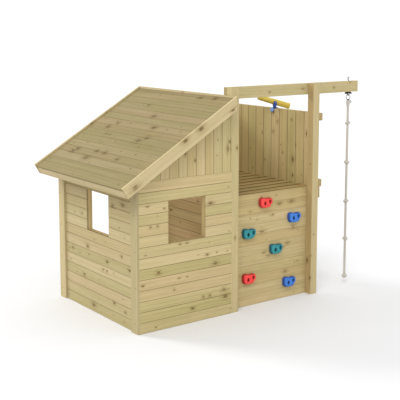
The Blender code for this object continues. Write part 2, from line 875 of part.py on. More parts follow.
def arc(centre, radius, start, end, steps, across, up):
    """Points on an arc. The angles are measured from the across direction towards up, in degrees."""
    points = []
    for k in range(steps + 1):
        angle = math.radians(start + (end - start) * k / steps)
        offset = radius * (math.cos(angle) * Vector(across) + math.sin(angle) * Vector(up))
        points.append(Vector(centre) + offset)
    return points


def hook_bolt():
    """A bar that forms an eye under the beam, passes up through it and ends in an open curl."""
    steel = material("steel", (0.520, 0.520, 0.500), 0.35, 1.0)
    eye = Vector((ROPE_X, ROPE_Y, EYE_Z))
    points = arc(eye, EYE_RADIUS, 150.0, 425.0, 22, (0, 1, 0), (0, 0, 1))
    points.append(eye + Vector((0.0, 0.0012, 0.0130)))
    points.append(eye + Vector((0.0, 0.0, 0.0165)))
    curl = 0.016
    foot = POST_TOP + 0.004
    points.append(Vector((ROPE_X, ROPE_Y, foot)))
    centre = Vector((ROPE_X + 0.007, ROPE_Y, foot + curl + 0.006))
    points += arc(centre, curl, 240.0, 60.0, 14, (1, 0, 0), (0, 0, 1))
    tube("beam_hook_bolt", points, BOLT_RADIUS, steel)


def bracket():
    """The black bearing housing under the beam: a lobe at each end and a bore for the bolt."""
    black = material("black_steel", (0.012, 0.012, 0.013), 0.5)
    top = POST_TOP - BEAM[1] - GAP
    outline = [(ROPE_X + dx, top - dz) for dx, dz in HOUSING_LOBE]
    outline += [(ROPE_X - dx, top - dz) for dx, dz in reversed(HOUSING_LOBE)]
    low, high = ROPE_Y - HOUSING_WIDTH / 2, ROPE_Y + HOUSING_WIDTH / 2
    housing = prism("swing_bracket", outline, "XZ", low, high, black)
    radius = BOLT_RADIUS + 0.0008
    place = Matrix.Translation((ROPE_X, ROPE_Y, 0.0))
    bore = turned_mesh("bore", [(radius, 2.1), (radius, 2.3)], place, 20)
    smooth(carve(housing, [bore]))


def rope_and_rings():
    steel = material("steel", (0.520, 0.520, 0.500), 0.35, 1.0)
    dark = material("dark_steel", (0.060, 0.060, 0.060), 0.45, 1.0)
    rope = material("rope", (0.480, 0.450, 0.390), 0.9)
    upright = Matrix.Rotation(math.radians(90.0), 3, "X")
    sideways = Matrix.Rotation(math.radians(90.0), 3, "Y")

    # The ring hangs in the bolt's eye and swings to the front and back.
    pivot = Vector((ROPE_X, ROPE_Y, EYE_Z - EYE_RADIUS + BOLT_RADIUS + RING_WIRE + GAP))
    centre = pivot - Vector((0.0, 0.0, RING_RADIUS))
    mesh = torus_mesh("link_ring", centre, RING_RADIUS, RING_WIRE, upright, 40, 10)
    smooth(add_object("link_ring", mesh, steel, pivot))

    # The rope's eye slides round the ring as the rope swings to the left and right, so that hinge's
    # axis is the ring's centre. A collar grips the rope.
    hang = centre - Vector((0.0, 0.0, RING_RADIUS))
    wire = 0.0045
    eye_radius = 0.0130
    eye_centre = hang + Vector((0.0, 0.0, RING_WIRE + wire + GAP - eye_radius))
    mesh = torus_mesh("rope_eye", eye_centre, eye_radius, wire, sideways, 28, 10)
    eye = add_object("rope_eye", mesh, dark)
    collar_top = eye_centre.z - eye_radius + 0.001
    profile = [
        (0.0170, ROPE_TOP + GAP),
        (0.0185, ROPE_TOP + GAP + 0.002),
        (0.0165, ROPE_TOP + GAP + 0.006),
        (0.0110, collar_top),
    ]
    collar = turned_mesh("collar", profile, Matrix.Translation((ROPE_X, ROPE_Y, 0.0)), 28)
    carve(eye, [collar], "UNION")
    eye.data.transform(Matrix.Translation(-centre))
    eye.location = centre
    smooth(eye)

    # The rope hangs straight, thicker where it is spliced at the top and at each knot.
    heights = {ROPE_TOP: 1.2, ROPE_TOP - 0.008: 1.5, ROPE_TOP - 0.02: 1.45, ROPE_END: 0.8}
    heights[ROPE_TOP - 0.032] = 1.1
    swell = KNOT_WIDTH / ROPE_DIAMETER
    for knot in KNOTS:
        for share in (-1.0, -0.75, -0.4, 0.0, 0.4, 0.75, 1.0):
            z = knot + share * KNOT_HEIGHT / 2
            if ROPE_END < z < ROPE_TOP:
                heights[z] = 1.0 + (swell - 1.0) * math.sqrt(max(0.0, 1.0 - share * share))
    spans = [ROPE_TOP, *KNOTS]
    for upper, lower in zip(spans, spans[1:]):
        start = upper - (0.032 if upper == ROPE_TOP else KNOT_HEIGHT / 2)
        end = lower + KNOT_HEIGHT / 2
        steps = max(2, round((start - end) / (2.4 * ROPE_DIAMETER)))
        for z in np.linspace(start, end, steps + 1)[1:-1]:
            heights[float(z)] = 1.0
    order = sorted(heights, reverse=True)
    points = [(ROPE_X, ROPE_Y, z) for z in order]
    radii = [heights[z] for z in order]
    tube("climbing_rope", points, ROPE_DIAMETER / 2, rope, radii, 3, centre)


def clear_scene():
    for old in list(bpy.data.objects):
        bpy.data.objects.remove(old)


def move_origin_to_base_centre():
    centre = Vector(((EAVE_X + BEAM_END) / 2, DEPTH / 2, 0.0))
    for made in bpy.data.objects:
        made.location -= centre


def build():
    clear_scene()
    house_walls()
    house_trims_and_frames()
    roof()
    tower_frame()
    guard_walls()
    platform()
    climbing_wall()
    holds()
    telescope()
    hook_bolt()
    bracket()
    rope_and_rings()
    move_origin_to_base_centre()
    bpy.context.view_layer.update()


build()
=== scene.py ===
"""Looks for the timber play structure: a playhouse, a tower with a climbing wall, and a rope beam.

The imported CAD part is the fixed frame. It gets procedural timber, plastic and metal finishes here, and
detailed pieces stand for the climbing holds and the climbing rope. All lengths are metres.
Places are mostly given in the plan's own coordinates, whose origin is the playhouse's front left corner
on the ground: X to the right along the front, Y to the back, Z up. plan() moves them to the model's frame.
"""

import math

import bmesh
import bpy
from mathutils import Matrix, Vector


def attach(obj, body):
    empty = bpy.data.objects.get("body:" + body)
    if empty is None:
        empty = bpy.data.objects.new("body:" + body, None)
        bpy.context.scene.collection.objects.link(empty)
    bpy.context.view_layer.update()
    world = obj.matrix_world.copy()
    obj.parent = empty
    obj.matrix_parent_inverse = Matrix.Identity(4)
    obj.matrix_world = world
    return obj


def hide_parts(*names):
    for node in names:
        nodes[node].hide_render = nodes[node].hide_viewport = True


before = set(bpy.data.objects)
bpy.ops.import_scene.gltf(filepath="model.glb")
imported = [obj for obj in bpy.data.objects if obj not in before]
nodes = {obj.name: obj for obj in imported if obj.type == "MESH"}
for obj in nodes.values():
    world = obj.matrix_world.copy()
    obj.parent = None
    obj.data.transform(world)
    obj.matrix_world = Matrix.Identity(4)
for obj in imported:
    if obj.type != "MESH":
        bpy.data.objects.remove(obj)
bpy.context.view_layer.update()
scene = bpy.context.scene

PLAN_ORIGIN = Vector((-1.3778, -0.785, 0.0))
X, Y, Z = Vector((1, 0, 0)), Vector((0, 1, 0)), Vector((0, 0, 1))


def plan(x, y, z):
    """A place in plan coordinates, in the model's frame."""
    return Vector((x, y, z)) + PLAN_ORIGIN


def srgb(red, green, blue, gain=1.0):
    """A colour given as on a paint card, 0 to 255, as the shaders' linear values."""
    out = []
    for value in (red, green, blue):
        share = value / 255.0
        out.append(gain * (share / 12.92 if share <= 0.04045 else ((share + 0.055) / 1.055) ** 2.4))
    return tuple(out)


# ---------------------------------------------------------------- camera

CAMERA_PLACE = (-5.77884, -7.81775, 2.94370)
CAMERA_YAW = math.radians(36.11665)
CAMERA_PITCH = math.radians(7.63243)
CAMERA_LENS = 81.392
CAMERA_SHIFT = -0.14
CAMERA_SENSOR = 36.0
CAMERA_REACH = 200.0

camera_data = bpy.data.cameras.new("camera")
camera_data.sensor_width = CAMERA_SENSOR
camera_data.lens = CAMERA_LENS
camera_data.shift_y = CAMERA_SHIFT
camera_data.clip_end = CAMERA_REACH
camera = bpy.data.objects.new("camera", camera_data)
camera.location = CAMERA_PLACE
camera.rotation_euler = (math.radians(90.0) - CAMERA_PITCH, 0.0, -CAMERA_YAW)
scene.collection.objects.link(camera)
scene.camera = camera

# ---------------------------------------------------------------- mesh helpers


def add_piece(name, bm, finish, smooth=True):
    """Turns a bmesh into an object of the scene, with one material."""
    bmesh.ops.recalc_face_normals(bm, faces=bm.faces)
    mesh = bpy.data.meshes.new(name)
    bm.to_mesh(mesh)
    bm.free()
    mesh.materials.append(finish)
    for face in mesh.polygons:
        face.use_smooth = smooth
    made = bpy.data.objects.new(name, mesh)
    scene.collection.objects.link(made)
    return made


def bridge(bm, rings, closed=False):
    """Joins rings of vertices into a skin, and caps the first and last unless the loop is closed."""
    pairs = list(zip(rings, rings[1:]))
    if closed:
        pairs.append((rings[-1], rings[0]))
    for near, far in pairs:
        count = len(near)
        for k in range(count):
            j = (k + 1) % count
            bm.faces.new((near[k], near[j], far[j], far[k]))
    if not closed:
        bm.faces.new(list(reversed(rings[0])))
        bm.faces.new(rings[-1])


def lathe(bm, profile, centre, axis, sides, wobble=None):
    """Turns (radius, height) pairs about an axis through a point. wobble scales the radius."""
    frame_z = Vector(axis).normalized()
    frame_x = frame_z.orthogonal().normalized()
    frame_y = frame_z.cross(frame_x)
    rings = []
    for radius, height in profile:
        ring = []
        for k in range(sides):
            angle = 2 * math.pi * k / sides
            r = radius if wobble is None else radius * wobble(angle, height)
            side = frame_x * (r * math.cos(angle)) + frame_y * (r * math.sin(angle))
            ring.append(bm.verts.new(Vector(centre) + side + frame_z * height))
        rings.append(ring)
    bridge(bm, rings)


def sweep(bm, points, radius, sides, closed=False):
    """A tube along points. radius is a function of the point's number and the angle."""
    count = len(points)
    tangents = []
    for k in range(count):
        before = points[k - 1] if closed or k > 0 else points[0]
        after = points[(k + 1) % count] if closed or k < count - 1 else points[-1]
        tangents.append((after - before).normalized())
    normal = tangents[0].orthogonal().normalized()
    normals = [normal]
    for k in range(1, count):
        normal = normal - tangents[k] * normal.dot(tangents[k])
        normals.append(normal.normalized())
        normal = normals[-1]
    twist = 0.0
    if closed:
        last = normals[-1] - tangents[0] * normals[-1].dot(tangents[0])
        twist = math.atan2(last.normalized().cross(normals[0]).dot(tangents[0]),
                           last.normalized().dot(normals[0]))
    rings = []
    for k, point in enumerate(points):
        side = tangents[k].cross(normals[k])
        ring = []
        for s in range(sides):
            angle = 2 * math.pi * s / sides
            r = radius(k, angle)
            turned = angle + twist * k / count
            ring.append(bm.verts.new(
                point + normals[k] * (r * math.cos(turned)) + side * (r * math.sin(turned))))
        rings.append(ring)
    bridge(bm, rings, closed)


def blend_curve(points, steps):
    """A smooth closed curve through control points (Catmull and Rom's)."""
    out = []
    count = len(points)
    for k in range(count):
        a, b, c, d = (Vector(points[(k + j) % count]) for j in (-1, 0, 1, 2))
        for s in range(steps):
            t = s / steps
            out.append(0.5 * (2 * b + (c - a) * t + (2 * a - 5 * b + 4 * c - d) * t * t
                              + (3 * b - a - 3 * c + d) * t ** 3))
    return out


def step(value, low, high):
    """0 below low, 1 above high, and a smooth rise between them."""
    share = min(1.0, max(0.0, (value - low) / (high - low)))
    return share * share * (3 - 2 * share)


# ---------------------------------------------------------------- material helpers


class Shader:
    """A small writer of node materials. Most calls add one node and give back its output socket."""

    def __init__(self, name, roughness, specular, metallic=0.0):
        self.material = bpy.data.materials.new(name)
        self.material.use_nodes = True
        self.tree = self.material.node_tree
        self.tree.nodes.clear()
        output = self.tree.nodes.new("ShaderNodeOutputMaterial")
        self.surface = self.tree.nodes.new("ShaderNodeBsdfPrincipled")
        self.tree.links.new(self.surface.outputs[0], output.inputs[0])
        self.surface.inputs["Roughness"].default_value = roughness
        self.surface.inputs["Specular IOR Level"].default_value = specular
        self.surface.inputs["Metallic"].default_value = metallic
        self.coordinates = self.tree.nodes.new("ShaderNodeTexCoord")
        self.place = self.coordinates.outputs["Object"]

    def feed(self, socket, value):
        """Links a socket to another node's output, or sets its constant."""
        if isinstance(value, bpy.types.NodeSocket):
            self.tree.links.new(value, socket)
        elif isinstance(value, (tuple, list, Vector)) and socket.type == "RGBA" and len(value) == 3:
            socket.default_value = (*value, 1.0)
        else:
            socket.default_value = value

    def math(self, operation, a, b=0.0, c=0.0):
        node = self.tree.nodes.new("ShaderNodeMath")
        node.operation = operation
        for socket, value in zip(node.inputs, (a, b, c)):
            self.feed(socket, value)
        return node.outputs[0]

    def vector(self, operation, a, b=(0, 0, 0)):
        node = self.tree.nodes.new("ShaderNodeVectorMath")
        node.operation = operation
        self.feed(node.inputs[0], a)
        self.feed(node.inputs[1], b)
        return node.outputs["Value" if operation in ("DOT_PRODUCT", "LENGTH") else "Vector"]

    def scaled(self, a, factor):
        node = self.tree.nodes.new("ShaderNodeVectorMath")
        node.operation = "SCALE"
        self.feed(node.inputs[0], a)
        self.feed(node.inputs["Scale"], factor)
        return node.outputs["Vector"]

    def join(self, x, y, z):
        node = self.tree.nodes.new("ShaderNodeCombineXYZ")
        for socket, value in zip(node.inputs, (x, y, z)):
            self.feed(socket, value)
        return node.outputs[0]

    def split(self, a):
        node = self.tree.nodes.new("ShaderNodeSeparateXYZ")
        self.feed(node.inputs[0], a)
        return node.outputs

    def noise(self, at, scale, detail, roughness=0.5):
        node = self.tree.nodes.new("ShaderNodeTexNoise")
        self.feed(node.inputs["Vector"], at)
        node.inputs["Scale"].default_value = scale
        node.inputs["Detail"].default_value = detail
        node.inputs["Roughness"].default_value = roughness
        return node.outputs[0]

    def random(self, at):
        """Three random numbers that depend on a vector, as one vector."""
        node = self.tree.nodes.new("ShaderNodeTexWhiteNoise")
        node.noise_dimensions = "3D"
        self.feed(node.inputs["Vector"], at)
        return node.outputs["Color"]

    def cells(self, at, scale):
        node = self.tree.nodes.new("ShaderNodeTexVoronoi")
        self.feed(node.inputs["Vector"], at)
        node.inputs["Scale"].default_value = scale
        return node.outputs

    def smooth(self, value, low, high, to_low=0.0, to_high=1.0):
        """A smooth step from to_low to to_high while the value goes from low to high."""
        node = self.tree.nodes.new("ShaderNodeMapRange")
        node.interpolation_type = "SMOOTHSTEP"
        for socket, given in zip(node.inputs, (value, low, high, to_low, to_high)):
            self.feed(socket, given)
        return node.outputs[0]

    def mix(self, share, a, b, kind="MIX"):
        node = self.tree.nodes.new("ShaderNodeMix")
        node.data_type = "RGBA"
        node.blend_type = kind
        sockets = [s for s in node.inputs if s.enabled]
        for socket, value in zip(sockets, (share, a, b)):
            self.feed(socket, value)
        return [s for s in node.outputs if s.enabled][0]

    def ramp(self, share, stops):
        """Bands of one colour each, from (share, colour) stops."""
        node = self.tree.nodes.new("ShaderNodeValToRGB")
        node.color_ramp.interpolation = "CONSTANT"
        elements = node.color_ramp.elements
        while len(elements) < len(stops):
            elements.new(0.5)
        for element, (at, colour) in zip(elements, stops):
            element.position = at
            element.color = (*colour, 1.0)
        self.feed(node.inputs[0], share)
        return node.outputs[0]

    def bump(self, height, distance, strength):
        node = self.tree.nodes.new("ShaderNodeBump")
        node.inputs["Distance"].default_value = distance
        node.inputs["Strength"].default_value = strength
        self.feed(node.inputs["Height"], height)
        self.tree.links.new(node.outputs[0], self.surface.inputs["Normal"])

    def finish(self, colour, roughness=None):
        self.feed(self.surface.inputs["Base Color"], colour)
        if roughness is not None:
            self.feed(self.surface.inputs["Roughness"], roughness)
        return self.material


# ---------------------------------------------------------------- timber

# How each kind of board differs from its wall's own colour, as factors on red, green and blue.
TONES = {
    "l": (1.07, 1.06, 1.10),
    "p": (1.06, 1.01, 1.05),
    "m": (1.00, 1.00, 1.00),
    "g": (0.97, 0.98, 0.94),
    "d": (0.90, 0.92, 0.83),
    "h": (0.97, 0.93, 0.88),
    "e": (0.82, 0.79, 0.74),
}
PINE = srgb(199, 183, 136)
KNOT = srgb(108, 88, 50)
KNOT_RING = srgb(146, 122, 76)
JOINT = srgb(92, 76, 42)
WALL_PITCH = 0.105
# How much longer a knot is along the grain than across it, as the inverse factor.
KNOT_STRETCH = 0.62
# Random knots: one at most per cell along a board, as (cell length, size, whether they come in pairs).
CLUSTER_KNOTS = (0.37, 0.013, True)
PIN_KNOTS = (0.23, 0.0062, False)
# Sets an unlucky cell's knot far away.
NO_KNOT = 60.0


def timber(name, along, across, colour=PINE, tones="m", pitch=WALL_PITCH, start=0.0, line=0.0,
           knots=(), pins=0.26, clusters=0.10, contrast=1.0, seed=0.0, line_width=0.0030, spread=1.0,
           left_face_shade=None, knot_depth=1.0, end_depth=1.0):
    """Pine boards. along is the grain's direction and across the one over the boards' widths.

    tones has one letter of TONES per board. start is where the first board begins, in plan coordinates.
    line is how dark the joints are drawn and line_width how wide, in metres.
    knots are chosen places (along, across, size) in plan coordinates; pins and clusters are the chances
    of random small ones and pairs. contrast is the grain's, and spread how much the boards' tones differ.
    left_face_shade is a painted shade that darkens the faces that look towards -X. knot_depth and end_depth
    are how dark the knots' hearts and the end grain are.
    """
    along, across = Vector(along), Vector(across)
    s = Shader(name, 0.78, 0.22)
    a = s.math("SUBTRACT", s.vector("DOT_PRODUCT", s.place, along), along.dot(PLAN_ORIGIN))
    c = s.math("SUBTRACT", s.vector("DOT_PRODUCT", s.place, across), across.dot(PLAN_ORIGIN))
    depth = s.vector("DOT_PRODUCT", s.place, along.cross(across))
    board_share = s.math("DIVIDE", s.math("SUBTRACT", c, start), pitch)
    board = s.math("FLOOR", board_share)
    within = s.math("SUBTRACT", board_share, board)
    luck = s.random(s.join(board, seed, 3.7))
    shifted = s.vector("ADD", s.join(a, c, depth), s.scaled(luck, 9.0))

    # Knots: a field that is 0 at a knot's middle and 1 at its edge, the nearest knot winning.
    rough = s.math("MULTIPLY_ADD", s.noise(shifted, 75.0, 2.0, 0.6), 0.018, -0.009)
    wavy = s.math("MULTIPLY_ADD", s.noise(s.vector("ADD", shifted, (5.0, 5.0, 5.0)), 48.0, 2.0, 0.6),
                  0.014, -0.007)
    place = s.join(s.math("ADD", a, rough), s.math("ADD", c, wavy), 0.0)
    field = None
    for at_along, at_across, size in knots:
        away = s.vector("SUBTRACT", place, (at_along, at_across, 0.0))
        away = s.vector("MULTIPLY", away, (KNOT_STRETCH / size, 1.0 / size, 0.0))
        reach = s.vector("LENGTH", away)
        field = reach if field is None else s.math("MINIMUM", field, reach)
    for chance, (cell, size, doubled) in ((clusters, CLUSTER_KNOTS), (pins, PIN_KNOTS)):
        share = s.math("ADD", s.math("DIVIDE", a, cell), s.math("MULTIPLY", s.split(luck)[0], 7.3))
        number = s.math("FLOOR", share)
        dice = s.split(s.random(s.join(board, number, seed + cell)))
        near = s.math("SUBTRACT", s.math("SUBTRACT", share, number),
                      s.math("MULTIPLY_ADD", dice[0], 0.5, 0.25))
        near = s.math("MULTIPLY_ADD", near, KNOT_STRETCH * cell / size, s.math("MULTIPLY", rough, 0.4 / size))
        if doubled:
            near = s.math("SUBTRACT", s.math("ABSOLUTE", near), 1.9)
        over = s.math("SUBTRACT", within, s.math("MULTIPLY_ADD", dice[1], 0.56, 0.22))
        over = s.math("MULTIPLY", s.math("MULTIPLY_ADD", over, pitch, s.math("MULTIPLY", wavy, 0.5)),
                      1.0 / size)
        reach = s.vector("LENGTH", s.join(near, over, 0.0))
        absent = s.math("GREATER_THAN", dice[2], chance)
        reach = s.math("MULTIPLY_ADD", absent, NO_KNOT, reach)
        field = reach if field is None else s.math("MINIMUM", field, reach)

    # Growth rings, which run along the board and bend round the knots, with fine streaks over them.
    bulge = s.math("MULTIPLY", s.math("EXPONENT", s.math("MULTIPLY", field, -0.55)), 0.030)
    ring_place = s.join(s.math("MULTIPLY", a, 0.35), s.math("ADD", c, bulge), depth)
    ring_place = s.vector("ADD", ring_place, s.scaled(luck, 9.0))
    rings = s.noise(s.vector("MULTIPLY", ring_place, (1.6, 62.0, 62.0)), 1.0, 3.0, 0.62)
    streaks = s.noise(s.vector("MULTIPLY", shifted, (9.0, 310.0, 310.0)), 1.0, 2.0, 0.6)
    broad = s.noise(s.vector("MULTIPLY", shifted, (1.7, 11.0, 11.0)), 1.0, 2.0)
    pores = s.noise(s.vector("MULTIPLY", shifted, (40.0, 900.0, 900.0)), 1.0, 1.0)

    count = len(tones)
    stops = [(k / count, tuple(v * (1.0 + spread * (f - 1.0)) for v, f in zip(colour, TONES[t])))
             for k, t in enumerate(tones)]
    tone = stops[0][1]
    if count > 1:
        tone = s.ramp(s.math("DIVIDE", s.math("ADD", board, 0.5), float(count)), stops)
    warm = s.mix(s.smooth(broad, 0.35, 0.70), (0.965, 0.975, 0.94), (1.035, 1.02, 1.05))
    shade = s.mix(1.0, tone, warm, "MULTIPLY")
    grain = s.smooth(rings, 0.30, 0.72)
    low, high = 1.0 - 0.11 * contrast, 1.0 + 0.05 * contrast
    grain_tint = s.mix(grain, (low, low * 0.985, low * 0.95), (high, high, high))
    shade = s.mix(1.0, shade, grain_tint, "MULTIPLY")
    fine = s.smooth(streaks, 0.2, 0.8)
    low = 1.0 - 0.09 * contrast
    shade = s.mix(1.0, shade, s.mix(fine, (low, low, low * 0.97), (1.04, 1.04, 1.04)), "MULTIPLY")

    # The knots' soft brown surround and dark heart, both darker on darker wood.
    ring_share = s.math("MULTIPLY", s.smooth(field, 0.8, 2.8, 1.0, 0.0),
                        s.smooth(rings, 0.3, 0.65, 0.60, 0.12))
    darker = [min(1.0, v / w) for v, w in zip(colour, PINE)]
    shade = s.mix(ring_share, shade, [v * w for v, w in zip(KNOT_RING, darker)])
    heart = s.math("MULTIPLY", s.smooth(field, 0.35, 1.15, 1.0, 0.0),
                   s.smooth(rings, 0.35, 0.65, 0.92 * knot_depth, 0.45 * knot_depth))
    shade = s.mix(heart, shade, [v * w for v, w in zip(KNOT, darker)])

    # Dark joints between boards, and darker end grain.
    if line > 0.0:
        edge = s.math("SUBTRACT", 0.5, s.math("ABSOLUTE", s.math("SUBTRACT", within, 0.5)))
        edge = s.math("MULTIPLY", edge, pitch)
        shade = s.mix(s.smooth(edge, 0.4 * line_width, 1.5 * line_width, line, 0.0), shade, JOINT)
    facing = s.math("ABSOLUTE", s.vector("DOT_PRODUCT", s.coordinates.outputs["Normal"], along))
    ends = s.mix(s.smooth(streaks, 0.3, 0.7), [v ** end_depth for v in (0.70, 0.66, 0.58)],
                 [v ** end_depth for v in (0.86, 0.83, 0.77)])
    shade = s.mix(s.smooth(facing, 0.75, 0.95), shade, s.mix(1.0, shade, ends, "MULTIPLY"))

    if left_face_shade is not None:
        # Painted shade: faces that look towards -X are darkened by the given tint.
        left = s.smooth(s.vector("DOT_PRODUCT", s.coordinates.outputs["Normal"], -X), 0.5, 0.9)
        shade = s.mix(left, shade, s.mix(1.0, shade, left_face_shade, "MULTIPLY"))

    height = s.math("MULTIPLY_ADD", streaks, 0.5, s.math("MULTIPLY", rings, 0.6))
    height = s.math("MULTIPLY_ADD", pores, 0.2, height)
    s.bump(height, 0.0012, 0.55)
    return s.finish(shade, s.smooth(rings, 0.3, 0.7, 0.84, 0.70))


# Roof slope: along it, and square to it.
ROOF_ANGLE = math.radians(30.47)
SLOPE = Vector((math.cos(ROOF_ANGLE), 0.0, math.sin(ROOF_ANGLE)))
SQUARE = Vector((-math.sin(ROOF_ANGLE), 0.0, math.cos(ROOF_ANGLE)))
EAVE = Vector((-0.2224, 0.0, 1.4527))
CLIMB_PITCH = 1.1838 / 11
GUARD_PITCH = 0.137
DECK_PITCH = 0.145

# Chosen knots: (along, across, size). Those along the boards of each face that shows most.
FRONT_KNOTS = ((0.24, 0.57, 0.018), (0.92, 0.56, 0.020), (0.82, 0.66, 0.014), (1.03, 0.27, 0.020),
               (1.05, 0.19, 0.022), (0.64, 0.14, 0.016), (0.86, 1.18, 0.022), (0.12, 1.23, 0.009),
               (0.31, 1.19, 0.009), (0.06, 0.47, 0.010), (0.42, 0.37, 0.009), (0.48, 0.48, 0.009))
LEFT_KNOTS = ((1.31, 0.59, 0.016), (0.99, 0.66, 0.018), (0.60, 0.58, 0.016), (0.17, 0.59, 0.018),
              (0.88, 0.07, 0.024), (1.07, 0.35, 0.018), (0.32, 0.70, 0.012), (1.10, 0.99, 0.012),
              (0.48, 1.17, 0.022), (0.29, 1.21, 0.024), (0.47, 0.19, 0.013), (0.26, 0.15, 0.011))
CLIMB_KNOTS = ((1.84, 1.04, 0.020), (2.01, 1.05, 0.022), (1.44, 1.00, 0.014), (1.75, 0.93, 0.010),
               (1.54, 0.91, 0.009), (2.04, 0.76, 0.020), (1.60, 0.77, 0.022), (1.96, 0.60, 0.017),
               (1.63, 0.54, 0.014), (1.69, 0.50, 0.016), (2.11, 0.38, 0.009), (1.93, 0.29, 0.016))
ROOF_KNOTS = ((0.43, 1.47, 0.018), (0.20, 1.48, 0.020), (1.11, 1.24, 0.016), (0.79, 1.08, 0.020),
              (1.32, 0.80, 0.020), (1.23, 0.88, 0.014), (0.56, 0.90, 0.022), (0.55, 0.68, 0.026),
              (0.47, 0.73, 0.020), (1.38, 0.34, 0.024), (1.34, 0.38, 0.020), (1.02, 0.28, 0.026),
              (0.98, 0.41, 0.018), (0.82, 0.41, 0.018), (0.51, 0.36, 0.018))
BARGE_KNOTS = ((1.01, -0.030, 0.024), (0.80, -0.022, 0.022), (0.12, -0.070, 0.026),
               (1.42, -0.085, 0.016))
GUARD_KNOTS = ((1.69, 0.92, 0.012), (1.84, 0.66, 0.014), (1.93, 0.73, 0.012), (1.72, 0.73, 0.014),
               (1.50, 0.56, 0.010), (1.44, 0.39, 0.022), (1.26, 0.39, 0.014), (1.75, 0.18, 0.016),
               (1.88, 0.42, 0.010), (1.60, 0.35, 0.010))
GABLE_KNOTS = ((1.70, 1.080, 0.022), (1.77, 1.095, 0.016), (1.62, 0.67, 0.010))

INNER = srgb(197, 180, 133)
HONEY = srgb(212, 186, 136)
ROOF = srgb(152, 138, 100)
DECK = srgb(184, 161, 109)
# The across direction of posts and frames, so that their front and side faces both get grain.
POST_WRAP = (1, -1, 0)

